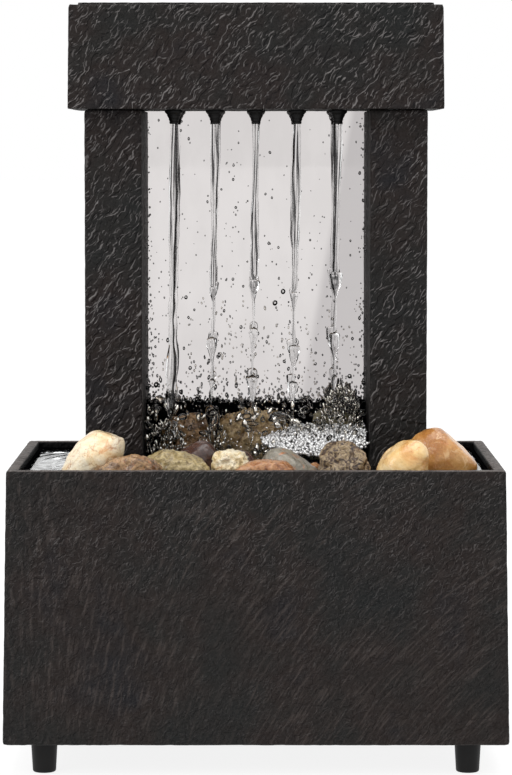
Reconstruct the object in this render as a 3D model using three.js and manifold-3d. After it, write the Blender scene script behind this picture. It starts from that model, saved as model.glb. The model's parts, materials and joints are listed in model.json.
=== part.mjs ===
// A tabletop rain fountain: a slate-look basin on four feet, two hollow columns with a mirror between
// them, and a header box whose trough feeds five nozzles. A small pump under the pebble deck lifts the
// water through a hose in the right column.
//
// Frame: millimetres, +Z up, -Y is the front, origin at the middle of the footprint on the table.

import * as THREE from "three";
import { mergeVertices } from "three/addons/utils/BufferGeometryUtils.js";
import Module from "manifold-3d";

// ---- driving dimensions ------------------------------------------------------------------------

const gap = 0.3; // between any two pieces that touch

// basin
const basinWidth = 189.2; // outside, at the rim
const basinDepth = 124; // outside, at the rim
const draft = 1.8; // how much further out each face is at the foot of the shell
const footHeight = 12.6;
const shellHeight = 104.8;
const shellWall = 4.4;
const tubWall = 1.4;
const tubFloor = 1.8;
const tubDraft = 0.8; // how much narrower each side of the tub is at its floor
const tubLipDrop = 2.5; // the tub's edge lies this far below the shell's rim
const basePlateThick = 3;
const footInset = 15; // foot centre from the shell's outside, at the foot of the shell
const footRadius = 5.2;

// pebble deck
const deckDrop = 14; // deck top below the rim
const deckThick = 2.5;
const drainRadius = 2.8;
const drainPitch = 15;

// tower
const columnWidth = 22.3;
const columnDepth = 62;
const columnWall = 3;
const columnGap = 89.4; // between the columns
const columnFrontInset = 48; // column front behind the basin's front, at the rim
const mirrorSetback = 38; // mirror face behind the columns' front
const mirrorThick = 3;
const ledgeRise = 19; // top of the splash ledge at the mirror's foot, above the basin's rim
const ledgeThick = 2;
const panelGroove = 1.8; // how deep the mirror and the back panel sit in the columns
const backPanelThick = 3;
const backPanelInset = 3; // back panel from the columns' back
const windowMargin = 4; // round the hose, in the opening that lets it into the column

// header
const headerClearance = 136.8; // header's underside above the basin's rim
const headerHeight = 40.2;
const headerDraft = 0.5;
const headerSideOverhang = 6;
const headerFrontOverhang = 8;
const headerWall = 3.1;
const headerFloor = 3;
const lidThick = 3;
const lidProud = 0.9;
const lidPost = 9; // side of the corner posts that the lid rests on

// trough and nozzles
const nozzleCount = 5;
const nozzlePitch = 16.2;
const nozzleDrop = 5.7; // how far a nozzle hangs below the header
const nozzleBore = 1.3;
const nozzleShank = 2.7;
const nozzleCup = 3.65;
const nozzleFlange = 4.2;
const nozzleFlangeThick = 1.4;
const streamSetback = 21; // nozzle line in front of the mirror
const troughWall = 1.6;
const troughMargin = 12; // from the outermost nozzle to the trough's end
const troughDepth = 20;
const troughHeight = 24;

// hose
const hoseRadius = 4.6;
const hoseBore = 3.3;
const hoseBend = 12;

// pump
const pumpX = -4;
const pumpWidth = 42;
const pumpDepth = 30;
const pumpMaxHeight = 34;
const chamberDepth = 7;
const rotorRadius = 5.5;
const rotorLength = 17;
const bladeCount = 6;
const shaftRadius = 1;
const coverThick = 2;
const intakeDepth = 12;
const intakeWall = 1.8;
const dialRadius = 5;
const cupRadius = 6;
const cupHeight = 5;

// fasteners
const screwRadius = 1.3;
const screwHead = 2.8;
const screwHeadThick = 1.8;
const screwLength = 8;

// ---- derived places ----------------------------------------------------------------------------

const rimZ = footHeight + shellHeight;
const frontY = -basinDepth / 2;
const plateZ = footHeight + 0.6;
const plateTop = plateZ + basePlateThick;
const bossHeight = 7;
const tubZ = plateTop + gap + bossHeight; // underside of the tub's floor
const floorZ = tubZ + tubFloor;
const tubTop = rimZ - tubLipDrop;
const tubOuterWidth = basinWidth - 2 * (shellWall + gap);
const tubOuterDepth = basinDepth - 2 * (shellWall + gap);
const tubInnerWidth = tubOuterWidth - 2 * tubWall;
const tubInnerDepth = tubOuterDepth - 2 * tubWall;
const deckTop = rimZ - deckDrop;

const columnX = (columnGap + columnWidth) / 2;
const columnFront = frontY + columnFrontInset;
const columnBack = columnFront + columnDepth;
const columnY = columnFront + columnDepth / 2;
const columnFoot = floorZ + gap;
const headerZ = rimZ + headerClearance;
const columnTop = headerZ - gap;
const mirrorY = columnFront + mirrorSetback; // its front face
const backPanelY = columnBack - backPanelInset - backPanelThick;
const panelWidth = columnGap + 2 * (panelGroove - gap);

const headerWidth = columnGap + 2 * columnWidth + 2 * headerSideOverhang;
const headerDepth = columnDepth + 2 * headerFrontOverhang;
const headerTop = headerZ + headerHeight;
const lidZ = headerTop + lidProud - lidThick;

const nozzleY = mirrorY - streamSetback;
const nozzleXs = Array.from({ length: nozzleCount }, (_, i) => (i - (nozzleCount - 1) / 2) * nozzlePitch);
const troughZ = headerZ + headerFloor + gap;
const hoseX = columnX;
const hoseY = nozzleY; // the hose comes up through the header on the nozzles' line
const troughLeft = nozzleXs[0] - troughMargin;
const troughRight = hoseX + hoseRadius + troughWall + 2;
const spigotTop = troughZ + 13;

const hoseCrossZ = deckTop - deckThick - hoseRadius - 3; // height at which it runs across to the column
const pumpZ = floorZ + gap + cupHeight;
const pumpHeight = Math.min(pumpMaxHeight, hoseCrossZ - hoseBend - 5 - pumpZ);
const chamberRadius = pumpHeight / 2 - 6;
const pumpFront = columnFront + 10; // front face of the pump's body
const pumpTop = pumpZ + pumpHeight;
const shaftZ = pumpZ + pumpHeight / 2;
const outletY = pumpFront + coverThick + gap + chamberDepth / 2;
const outletTop = pumpTop + 4;

const round = 12; // sides of small round pieces

// ---- materials ---------------------------------------------------------------------------------

const finish = (color, roughness, metalness = 0) => new THREE.MeshStandardMaterial({ color, roughness, metalness });
const slate = finish(0x302e2e, 0.75);
const tubPlastic = finish(0x0c0c0d, 0.35);
const blackPlastic = finish(0x161617, 0.5);
const rubber = finish(0x141414, 0.8);
const mirrorGlass = finish(0xdedcdc, 0.03, 1);
const hosePlastic = finish(0xb9c4c4, 0.25);
const steel = finish(0xb0b0b2, 0.35, 1);
const magnet = finish(0x3a3a3d, 0.5, 0.4);
const ceramic = finish(0xe8e6e0, 0.3);
const stone = (color) => finish(color, 0.45);

// ---- shape helpers -----------------------------------------------------------------------------

const wasm = await Module();
wasm.setup();

const fountain = new THREE.Group();
fountain.name = "rain_fountain";

function toSolid(geometry) {
  const bare = geometry.clone();
  bare.deleteAttribute("normal");
  bare.deleteAttribute("uv");
  const merged = mergeVertices(bare, 1e-4);
  return new wasm.Manifold(
    new wasm.Mesh({
      numProp: 3,
      vertProperties: merged.attributes.position.array,
      triVerts: new Uint32Array(merged.index.array),
    }),
  );
}

function toGeometry(solid) {
  const { vertProperties, triVerts } = solid.getMesh();
  return new THREE.BufferGeometry()
    .setAttribute("position", new THREE.BufferAttribute(vertProperties, 3))
    .setIndex(new THREE.BufferAttribute(triVerts, 1));
}

// The first geometry with the others cut out of it, or joined to it.
const cut = (body, ...tools) => toGeometry(tools.reduce((s, t) => s.subtract(toSolid(t)), toSolid(body)));
const join = (body, ...others) => toGeometry(others.reduce((s, o) => s.add(toSolid(o)), toSolid(body)));

function add(name, geometry, material, parent = fountain) {
  const mesh = new THREE.Mesh(geometry, material);
  mesh.name = name;
  parent.add(mesh);
  return mesh;
}

function block(x0, x1, y0, y1, z0, z1) {
  return new THREE.BoxGeometry(x1 - x0, y1 - y0, z1 - z0).translate((x0 + x1) / 2, (y0 + y1) / 2, (z0 + z1) / 2);
}

// A block centred on (0, y) that is `grow` wider on every side at its foot than the width and depth of its top.
function draftedBlock(width, depth, z0, z1, grow, y = 0) {
  const geometry = new THREE.BoxGeometry(width, depth, z1 - z0);
  const p = geometry.attributes.position;
  for (let i = 0; i < p.count; i++) {
    if (p.getZ(i) > 0) continue;
    p.setX(i, p.getX(i) + Math.sign(p.getX(i)) * grow);
    p.setY(i, p.getY(i) + Math.sign(p.getY(i)) * grow);
  }
  return geometry.translate(0, y, (z0 + z1) / 2);
}

function postZ(radius, z0, z1, x, y, sides = round) {
  return new THREE.CylinderGeometry(radius, radius, z1 - z0, sides).rotateX(Math.PI / 2).translate(x, y, (z0 + z1) / 2);
}

function postY(radius, y0, y1, x, z, sides = round) {
  return new THREE.CylinderGeometry(radius, radius, y1 - y0, sides).translate(x, (y0 + y1) / 2, z);
}

// A turned piece from [radius, z] points that run from its bottom to its top.
function turned(points, sides = round) {
  const profile = points.map(([r, z]) => new THREE.Vector2(r, z));
  return new THREE.LatheGeometry(profile, sides).rotateX(Math.PI / 2);
}

// ---- basin -------------------------------------------------------------------------------------

const cableNotchWidth = 10;
const cableNotchDepth = 8;
const cableRadius = 3.1;

function cableNotch(y0, y1) {
  return block(-cableNotchWidth / 2, cableNotchWidth / 2, y0, y1, rimZ - cableNotchDepth, rimZ + 5);
}

function makeShell() {
  const outer = draftedBlock(basinWidth, basinDepth, footHeight, rimZ, draft);
  const inner = draftedBlock(
    basinWidth - 2 * shellWall,
    basinDepth - 2 * shellWall,
    footHeight - 1,
    rimZ + 1,
    draft,
  );
  return cut(outer, inner, cableNotch(basinDepth / 2 - 2 * shellWall, basinDepth));
}

const corners = [
  ["front_left", -1, -1],
  ["front_right", 1, -1],
  ["rear_left", -1, 1],
  ["rear_right", 1, 1],
];
const footX = basinWidth / 2 + draft - footInset;
const footY = basinDepth / 2 + draft - footInset;
const plateScrewX = footX - 22;

function makeBasePlate() {
  const width = basinWidth + 2 * draft - 2 * shellWall - 4 * gap;
  const depth = basinDepth + 2 * draft - 2 * shellWall - 4 * gap;
  const holes = corners.flatMap(([, sx, sy]) => [
    postZ(2.5, 0, 20, sx * footX, sy * footY),
    postZ(screwRadius + gap, 0, 20, sx * plateScrewX, sy * footY),
  ]);
  return cut(block(-width / 2, width / 2, -depth / 2, depth / 2, plateZ, plateTop), ...holes);
}

const columnScrewYs = [nozzleY + troughDepth / 2 + 5, columnBack - 8];

function makeTub() {
  const outer = draftedBlock(tubOuterWidth, tubOuterDepth, tubZ, tubTop, -tubDraft);
  const inner = draftedBlock(tubInnerWidth, tubInnerDepth, floorZ, tubTop, -tubDraft);
  const innerAbove = block(
    -tubInnerWidth / 2,
    tubInnerWidth / 2,
    -tubInnerDepth / 2,
    tubInnerDepth / 2,
    tubTop - 0.01,
    tubTop + 1,
  );
  const bosses = corners.map(([, sx, sy]) =>
    postZ(4, plateTop + gap, tubZ + 0.5, sx * plateScrewX, sy * footY),
  );
  const pilots = corners.map(([, sx, sy]) =>
    postZ(screwRadius + gap, 0, tubZ - 0.2, sx * plateScrewX, sy * footY),
  );
  const columnHoles = [-1, 1].flatMap((side) =>
    columnScrewYs.map((y) => postZ(screwRadius + gap, tubZ - 1, floorZ + 1, side * columnX, y)),
  );
  const notch = cableNotch(tubInnerDepth / 2 - 2, basinDepth);
  return cut(join(outer, ...bosses), inner, innerAbove, ...pilots, ...columnHoles, notch);
}

function makeFoot() {
  const neck = 2.2;
  const barb = 3.1;
  return turned([
    [0, 0],
    [footRadius - 1.9, 0],
    [footRadius - 0.9, 0.9],
    [footRadius, footHeight],
    [footRadius, plateZ - gap],
    [neck, plateZ - gap],
    [neck, plateTop + gap],
    [barb, plateTop + gap],
    [neck - 0.6, plateTop + gap + 2.4],
    [0, plateTop + gap + 2.4],
  ]);
}

// A pan-head screw that points up, with its head's underside at z = 0.
function makeScrew(length = screwLength) {
  return turned(
    [
      [0, -screwHeadThick],
      [screwHead - 0.8, -screwHeadThick],
      [screwHead, -0.6],
      [screwHead, -gap],
      [screwRadius, -gap],
      [screwRadius, length - 1],
      [0, length],
    ],
    8,
  );
}

// A rubber block in the notch of the rear rim, with a hole for the pump's lead.
function makeCableGrommet() {
  const half = cableNotchWidth / 2 - gap;
  const y0 = tubInnerDepth / 2 - 1;
  const y1 = basinDepth / 2 + 1;
  const z0 = rimZ - cableNotchDepth + gap;
  const body = block(-half, half, y0, y1, z0, rimZ);
  return cut(body, postY(cableRadius, y0 - 1, y1 + 1, 0, (z0 + rimZ) / 2));
}

add("base_shell", makeShell(), slate);
add("basin_tub", makeTub(), tubPlastic);
add("base_plate", makeBasePlate(), blackPlastic);
add("cable_grommet", makeCableGrommet(), rubber);
for (const [corner, sx, sy] of corners) {
  add(`foot_${corner}`, makeFoot(), rubber).position.set(sx * footX, sy * footY, 0);
  add(`base_screw_${corner}`, makeScrew(), steel).position.set(sx * plateScrewX, sy * footY, plateZ);
}

// ---- pebble deck -------------------------------------------------------------------------------

const deckSide = tubInnerWidth / 2 - tubDraft - gap;
const deckFront = -(tubInnerDepth / 2 - tubDraft - gap);
const deckBack = columnBack + 1.5;
const legRadius = 3.5;
const legs = [
  [-(columnX + columnWidth / 2 + 12), columnFront - 8],
  [columnX + columnWidth / 2 + 12, columnFront - 8],
  [-(columnX + columnWidth / 2 + 12), columnBack - 8],
  [columnX + columnWidth / 2 + 12, columnBack - 8],
];

function makeDeck() {
  const plate = block(-deckSide, deckSide, deckFront, deckBack, deckTop - deckThick, deckTop);
  const notches = [-1, 1].map((side) => {
    const a = side * (columnGap / 2 - gap);
    const b = side * (columnGap / 2 + columnWidth + gap);
    return block(Math.min(a, b), Math.max(a, b), columnFront - gap, deckBack + 1, 0, rimZ);
  });
  const legPosts = legs.map(([x, y]) => postZ(legRadius, columnFoot, deckTop - 1, x, y, 8));
  const drainRows = [deckFront + 10, columnFront + 12, mirrorY + 8];
  const drainColumns = [-2, -1, 0, 1, 2];
  const drains = drainRows.flatMap((y) =>
    drainColumns.map((i) => postZ(drainRadius, deckTop - 5, deckTop + 1, i * drainPitch, y, 8)),
  );
  return cut(join(plate, ...legPosts), ...notches, ...drains);
}

add("pebble_deck", makeDeck(), blackPlastic);

// ---- tower -------------------------------------------------------------------------------------

// The column on the right (side 1) or the left (side -1), hollow, open near its foot towards the pump.
function makeColumn(side) {
  const inward = side * (columnGap / 2); // plane of the inner face
  const x0 = side > 0 ? inward : inward - columnWidth;
  const x1 = x0 + columnWidth;
  const outer = block(x0, x1, columnFront, columnBack, columnFoot, columnTop);
  const cavity = block(
    x0 + columnWall,
    x1 - columnWall,
    columnFront + columnWall,
    columnBack - columnWall,
    columnFoot + columnWall,
    columnTop - columnWall,
  );
  const slot = (y0, y1, z0, z1, depth) => {
    const a = inward - side;
    const b = inward + side * depth;
    return block(Math.min(a, b), Math.max(a, b), y0, y1, z0, z1);
  };
  const mirrorSlot = slot(mirrorY - gap, mirrorY + mirrorThick + gap, deckTop - gap, rimZ + 200, panelGroove);
  const backSlot = slot(
    backPanelY - gap,
    backPanelY + backPanelThick + gap,
    deckTop - gap,
    rimZ + 200,
    panelGroove,
  );
  const foot = columnFoot + columnWall;
  const reach = hoseRadius + windowMargin;
  const window = slot(
    hoseY - reach,
    hoseY + reach,
    hoseCrossZ - reach,
    hoseCrossZ + reach + hoseBend / 2,
    columnWall + 1,
  );
  const screwHoles = columnScrewYs.flatMap((y) => [
    postZ(screwRadius + gap, columnFoot - 1, foot + 1, side * columnX, y),
    postZ(screwRadius + gap, columnTop - columnWall - 1, columnTop + 1, side * columnX, y),
  ]);
  const hoseHole = postZ(hoseRadius + gap, columnTop - columnWall - 1, columnTop + 1, side * hoseX, hoseY);
  return cut(outer, cavity, mirrorSlot, backSlot, window, hoseHole, ...screwHoles);
}

add("left_column", makeColumn(-1), slate);
add("right_column", makeColumn(1), slate);

const panelFoot = deckTop + gap;
const panelTop = headerZ - gap;
const half = panelWidth / 2;
const ledgeBack = mirrorY - gap;
const ledgeSide = columnGap / 2 - gap;
add("mirror_panel", block(-half, half, mirrorY, mirrorY + mirrorThick, panelFoot, panelTop), mirrorGlass);
add("back_panel", block(-half, half, backPanelY, backPanelY + backPanelThick, panelFoot, panelTop), slate);

add(
  "splash_ledge",
  block(-ledgeSide, ledgeSide, ledgeBack - ledgeThick, ledgeBack, panelFoot, rimZ + ledgeRise),
  blackPlastic,
);

for (const [sideName, side] of [
  ["left", -1],
  ["right", 1],
]) {
  columnScrewYs.forEach((y, i) => {
    const place = i === 0 ? "front" : "rear";
    add(`column_screw_${sideName}_${place}`, makeScrew(), steel).position.set(side * columnX, y, tubZ);
    const down = add(`header_screw_${sideName}_${place}`, makeScrew(), steel);
    down.position.set(side * columnX, y, headerZ + headerFloor);
    down.rotation.x = Math.PI;
  });
}

// ---- header ------------------------------------------------------------------------------------

function makeHeader() {
  const outer = draftedBlock(headerWidth - 2 * headerDraft, headerDepth, headerZ, headerTop, headerDraft, columnY);
  const innerWidth = headerWidth - 2 * headerDraft - 2 * headerWall;
  const innerDepth = headerDepth - 2 * headerWall;
  const y0 = columnY - innerDepth / 2;
  const y1 = columnY + innerDepth / 2;
  const cavity = block(-innerWidth / 2, innerWidth / 2, y0, y1, headerZ + headerFloor, headerTop + 1);
  const posts = [-1, 1].flatMap((sx) =>
    [y0, y1].map((y) => {
      const x = sx * (innerWidth / 2);
      const inwardX = x - sx * lidPost;
      const inwardY = y === y0 ? y + lidPost : y - lidPost;
      return block(
        Math.min(x + sx, inwardX),
        Math.max(x + sx, inwardX),
        Math.min(y - 1, inwardY),
        Math.max(y + 1, inwardY),
        headerZ + headerFloor - 1,
        lidZ - gap,
      );
    }),
  );
  const trimmedPosts = posts.map((p) => toGeometry(toSolid(p).intersect(toSolid(outer))));
  const nozzleHoles = nozzleXs.map((x) => postZ(nozzleShank + gap, headerZ - 1, headerZ + 5, x, nozzleY));
  const hoseHole = postZ(hoseRadius + gap, headerZ - 1, headerZ + 5, hoseX, hoseY);
  const screwHoles = [-1, 1].flatMap((side) =>
    columnScrewYs.map((y) => postZ(screwRadius + gap, headerZ - 1, headerZ + 5, side * columnX, y)),
  );
  return cut(join(cut(outer, cavity), ...trimmedPosts), ...nozzleHoles, hoseHole, ...screwHoles);
}

function makeLid() {
  const halfWidth = headerWidth / 2 - headerDraft - headerWall - gap;
  const halfDepth = headerDepth / 2 - headerWall - gap;
  return block(-halfWidth, halfWidth, columnY - halfDepth, columnY + halfDepth, lidZ, lidZ + lidThick);
}

// The trough that the hose fills and the nozzles drain, open at the top.
function makeTrough() {
  const y0 = nozzleY - troughDepth / 2;
  const y1 = nozzleY + troughDepth / 2;
  const outer = block(troughLeft, troughRight, y0, y1, troughZ, troughZ + troughHeight);
  const inner = block(
    troughLeft + troughWall,
    troughRight - troughWall,
    y0 + troughWall,
    y1 - troughWall,
    troughZ + troughWall,
    troughZ + troughHeight + 1,
  );
  const nozzleHoles = nozzleXs.map((x) => postZ(nozzleShank + gap, troughZ - 1, troughZ + 5, x, nozzleY));
  const hoseHole = postZ(hoseRadius + gap, troughZ - 1, troughZ + 5, hoseX, hoseY);
  return cut(outer, inner, ...nozzleHoles, hoseHole);
}

// Pushed through the floors of the trough and the header, with its bore open from end to end.
function makeNozzle() {
  const seat = troughZ + troughWall + gap;
  const under = headerZ - gap;
  const tip = headerZ - nozzleDrop;
  return turned([
    [nozzleBore, tip],
    [nozzleBore + 0.6, tip],
    [nozzleCup - 0.7, tip + 3],
    [nozzleCup, tip + 3.8],
    [nozzleCup, under],
    [nozzleShank, under],
    [nozzleShank, seat],
    [nozzleFlange, seat],
    [nozzleFlange, seat + nozzleFlangeThick],
    [nozzleBore, seat + nozzleFlangeThick],
    [nozzleBore, tip],
  ]);
}

add("header_shell", makeHeader(), slate);
add("header_lid", makeLid(), slate);
add("water_trough", makeTrough(), blackPlastic);
nozzleXs.forEach((x, i) => add(`nozzle_${i + 1}`, makeNozzle(), rubber).position.set(x, nozzleY, 0));

// ---- pump --------------------------------------------------------------------------------------

const chamberFront = pumpFront + coverThick + gap; // behind the volute cover
const chamberBack = chamberFront + chamberDepth;
const rotorBack = chamberBack + rotorLength;
const cupX = pumpWidth / 2 - 9;
const spigotRadius = hoseBore - 0.3 - gap;
const cupYs = [pumpFront + 8, pumpFront + pumpDepth - 8];

function makePumpBody() {
  const body = block(
    pumpX - pumpWidth / 2,
    pumpX + pumpWidth / 2,
    pumpFront,
    pumpFront + pumpDepth,
    pumpZ,
    pumpTop,
  );
  const spigot = postZ(spigotRadius, pumpTop - 1, outletTop, pumpX, outletY);
  const gland = postY(4, pumpFront + pumpDepth - 1, pumpFront + pumpDepth + 4, pumpX, pumpZ + 9);
  const coverSeat = postY(chamberRadius + 3 + gap, pumpFront - 1, chamberFront, pumpX, shaftZ, 24);
  const chamber = postY(chamberRadius, pumpFront - 1, chamberBack, pumpX, shaftZ, 24);
  const rotorWell = postY(rotorRadius + 0.6, pumpFront - 1, rotorBack + gap, pumpX, shaftZ, 16);
  const shaftSeat = postY(shaftRadius + gap, pumpFront - 1, rotorBack + 2.4, pumpX, shaftZ);
  const outlet = postZ(spigotRadius - 0.9, shaftZ, outletTop + 1, pumpX, outletY);
  const cupHoles = [-1, 1].flatMap((side) =>
    cupYs.map((y) => postZ(1.6 + gap, pumpZ - 1, pumpZ + 4, pumpX + side * cupX, y, 8)),
  );
  return cut(
    join(body, spigot, gland),
    coverSeat,
    chamber,
    rotorWell,
    shaftSeat,
    outlet,
    ...cupHoles,
  );
}

// The disc that closes the impeller's chamber, with the inlet round the front seat of the shaft.
function makeVoluteCover() {
  const disc = postY(chamberRadius + 3, pumpFront, pumpFront + coverThick, pumpX, shaftZ, 24);
  const eye = postY(5, pumpFront - 1, pumpFront + coverThick + 1, pumpX, shaftZ, 16);
  const seat = postY(2.6, pumpFront, pumpFront + coverThick, pumpX, shaftZ);
  const spokes = [0, 1].map((i) => {
    const bar = new THREE.BoxGeometry(11, coverThick, 1.4);
    return bar.rotateY((i * Math.PI) / 2).translate(pumpX, pumpFront + coverThick / 2, shaftZ);
  });
  const shaftHole = postY(shaftRadius + gap, pumpFront + 0.8, pumpFront + 5, pumpX, shaftZ);
  return cut(join(cut(disc, eye), seat, ...spokes), shaftHole);
}

function makeImpeller() {
  const rotor = postY(rotorRadius, chamberBack - 1, rotorBack - gap, pumpX, shaftZ, 16);
  const hub = postY(3, chamberFront + 1, chamberBack, pumpX, shaftZ);
  const disc = postY(chamberRadius - 2, chamberBack - 1.9, chamberBack - 0.7, pumpX, shaftZ, 16);
  const blades = Array.from({ length: bladeCount }, (_, i) => {
    const blade = new THREE.BoxGeometry(chamberRadius - 3.5, chamberDepth - 2.6, 1);
    blade.translate((chamberRadius - 3.5) / 2 + 1.5, chamberFront + (chamberDepth - 0.4) / 2, 0);
    return blade.rotateY((i * 2 * Math.PI) / bladeCount).translate(pumpX, 0, shaftZ);
  });
  const bore = postY(shaftRadius + gap, pumpFront, rotorBack + 5, pumpX, shaftZ);
  return cut(join(rotor, hub, disc, ...blades), bore);
}

const dialX = pumpX + 11;
const dialZ = pumpZ + pumpHeight - 9;
const intakeFront = pumpFront - gap - intakeDepth;

// The slotted box on the pump's front, open at the back, with a hole for the dial's pin.
function makeIntakeCover() {
  const x0 = pumpX - pumpWidth / 2;
  const x1 = pumpX + pumpWidth / 2;
  const outer = block(x0, x1, intakeFront, pumpFront - gap, pumpZ, pumpTop);
  const inner = block(
    x0 + intakeWall,
    x1 - intakeWall,
    intakeFront + intakeWall,
    pumpFront + 1,
    pumpZ + intakeWall,
    pumpTop - intakeWall,
  );
  const pitch = pumpHeight / 9;
  const slots = [1, 2, 3, 4].map((i) => {
    const z = pumpZ + i * pitch;
    return block(x0 + 6, x1 - 6, intakeFront - 1, intakeFront + intakeWall + 1, z, z + pitch / 2);
  });
  const pinHole = postY(1.8, intakeFront - 1, intakeFront + 3, dialX, dialZ);
  return cut(outer, inner, ...slots, pinHole);
}

function makeFlowDial() {
  const face = intakeFront - gap;
  const disc = postY(dialRadius, face - 2.2, face, dialX, dialZ, 16);
  const grip = block(dialX - 0.9, dialX + 0.9, face - 4, face - 2, dialZ - 4, dialZ + 4);
  const pin = postY(1.4, face - 1, intakeFront + intakeWall + 2, dialX, dialZ);
  return join(disc, grip, pin);
}

function makeSuctionCup() {
  return turned(
    [
      [0, 1.4],
      [cupRadius - 1.2, 0],
      [cupRadius, 0],
      [2.6, cupHeight - 1.6],
      [2.6, cupHeight - gap],
      [1.6, cupHeight - gap],
      [1.6, cupHeight + 3],
      [0, cupHeight + 3],
    ],
    round,
  );
}

add("pump_body", makePumpBody(), blackPlastic);
add("volute_cover", makeVoluteCover(), blackPlastic);
add("impeller", makeImpeller(), magnet);
add("impeller_shaft", postY(shaftRadius, pumpFront + 1.1, rotorBack + 2.1, pumpX, shaftZ), ceramic);
add("intake_cover", makeIntakeCover(), blackPlastic);
add("flow_dial", makeFlowDial(), blackPlastic);
for (const [sideName, side] of [
  ["left", -1],
  ["right", 1],
]) {
  cupYs.forEach((y, i) => {
    const name = `suction_cup_${i === 0 ? "front" : "rear"}_${sideName}`;
    add(name, makeSuctionCup(), rubber).position.set(pumpX + side * cupX, y, floorZ + gap);
  });
}

// ---- hose --------------------------------------------------------------------------------------

// From the pump's spigot up, across into the right column, and up through its top into the trough.
function makeHose() {
  const start = new THREE.Vector3(pumpX, outletY, pumpTop + gap);
  const bend = hoseBend;
  const path = new THREE.CurvePath();
  const cross = new THREE.Vector3(hoseX - pumpX, hoseY - outletY, 0).normalize();
  const at = (x, y, z) => new THREE.Vector3(x, y, z);
  const rise = at(pumpX, outletY, hoseCrossZ - bend);
  const turn = at(pumpX, outletY, hoseCrossZ);
  const afterTurn = turn.clone().addScaledVector(cross, bend);
  const corner = at(hoseX, hoseY, hoseCrossZ);
  const beforeCorner = corner.clone().addScaledVector(cross, -bend);
  const upAgain = at(hoseX, hoseY, hoseCrossZ + bend);
  path.add(new THREE.LineCurve3(start, rise));
  path.add(new THREE.QuadraticBezierCurve3(rise, turn, afterTurn));
  path.add(new THREE.LineCurve3(afterTurn, beforeCorner));
  path.add(new THREE.QuadraticBezierCurve3(beforeCorner, corner, upAgain));
  path.add(new THREE.LineCurve3(upAgain, at(hoseX, hoseY, spigotTop)));
  const ring = (radius) => {
    const points = [];
    for (let i = 0; i < 8; i++) {
      const a = (i * Math.PI) / 4;
      points.push(new THREE.Vector2(radius * Math.cos(a), radius * Math.sin(a)));
    }
    return points;
  };
  const section = new THREE.Shape(ring(hoseRadius));
  section.holes.push(new THREE.Path(ring(hoseBore)));
  return new THREE.ExtrudeGeometry(section, { steps: 40, extrudePath: path, bevelEnabled: false });
}

add("riser_hose", makeHose(), hosePlastic);

// ---- pebbles -----------------------------------------------------------------------------------

// Each loose pebble: its name, colour, full width, depth and height, where its middle is in plan, and
// how it is turned (about Z) and tipped (about Y), in degrees. Each one stands on the deck.
const pebbles = [
  ["pebble_cream", 0xe6cfae, 21.4, 22, 30.6, -63.2, -34.8, -6, 25],
  ["pebble_honey", 0xd9a868, 22, 20, 25.2, 56, -45.4, 6, 8],
  ["pebble_amber", 0xd49a58, 31, 18.6, 27.4, 71.4, -24.6, -3, -14],
  ["pebble_mottled", 0x8c7456, 20.4, 22, 24, 34.4, -38.6, 10, 6],
  ["pebble_russet", 0xb4713f, 26, 12, 17, 2, -48.8, 3, 0],
  ["pebble_grey", 0x8f8a80, 22.6, 14, 20.6, 13, -34.6, -4, -16],
  ["pebble_shell", 0xd9c49a, 14.6, 14, 19.8, -9.4, -35, 8, -8],
  ["pebble_plum", 0x5d4238, 20, 14.6, 22.6, -24.6, -19, -8, 24],
  ["pebble_olive", 0xa18a5c, 28.6, 16, 19.8, -31.6, -36, -3, 5],
  ["pebble_brown", 0x8b6440, 25.4, 12, 19.8, -48, -48.8, 4, 0],
  ["pebble_ember", 0xb8652f, 9.4, 9, 18.8, 21.6, -21, 10, 4],
  ["pebble_wet", 0x40301f, 16, 13, 18, -6, -16.6, 12, 0],
  ["pebble_tan", 0xa98f66, 31, 12.2, 32, -1.2, 14.4, 3, -6],
  ["pebble_bark", 0x4a382c, 22, 12.2, 30, -27.8, 14.4, -3, 8],
  ["pebble_moss", 0x6f6648, 22, 12, 32, 31.8, 14.4, 3, -5],
];

function makePebble(width, depth, height, turn, tip) {
  const radians = THREE.MathUtils.degToRad;
  const geometry = new THREE.IcosahedronGeometry(0.5, 2).scale(width, depth, height);
  geometry.rotateY(radians(tip)).rotateZ(radians(turn));
  geometry.computeBoundingBox();
  return geometry.translate(0, 0, -geometry.boundingBox.min.z);
}

for (const [name, color, width, depth, height, x, y, turn, tip] of pebbles) {
  add(name, makePebble(width, depth, height, turn, tip), stone(color)).position.set(x, y, deckTop + gap);
}

export default fountain;
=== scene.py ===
import json
import math
import random

import bmesh
import bpy
import numpy as np
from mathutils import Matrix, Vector


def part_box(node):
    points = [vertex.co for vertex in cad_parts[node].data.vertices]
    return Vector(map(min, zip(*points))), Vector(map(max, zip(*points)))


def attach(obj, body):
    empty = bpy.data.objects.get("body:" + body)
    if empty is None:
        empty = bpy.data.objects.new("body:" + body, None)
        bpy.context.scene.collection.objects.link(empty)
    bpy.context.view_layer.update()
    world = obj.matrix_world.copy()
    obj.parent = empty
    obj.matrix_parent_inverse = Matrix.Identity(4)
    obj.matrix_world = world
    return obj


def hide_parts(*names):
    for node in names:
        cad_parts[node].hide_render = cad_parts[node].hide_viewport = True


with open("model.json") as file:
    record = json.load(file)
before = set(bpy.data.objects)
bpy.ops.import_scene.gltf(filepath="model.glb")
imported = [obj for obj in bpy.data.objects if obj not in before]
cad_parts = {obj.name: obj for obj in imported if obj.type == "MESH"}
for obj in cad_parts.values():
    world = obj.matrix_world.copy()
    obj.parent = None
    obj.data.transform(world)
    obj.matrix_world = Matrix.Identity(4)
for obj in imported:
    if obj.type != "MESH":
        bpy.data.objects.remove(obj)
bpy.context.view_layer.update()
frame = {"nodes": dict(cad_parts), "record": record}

MM = 0.001
ROOT = "fountain"


# ---- places from the frame ---------------------------------------------------------------------

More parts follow.
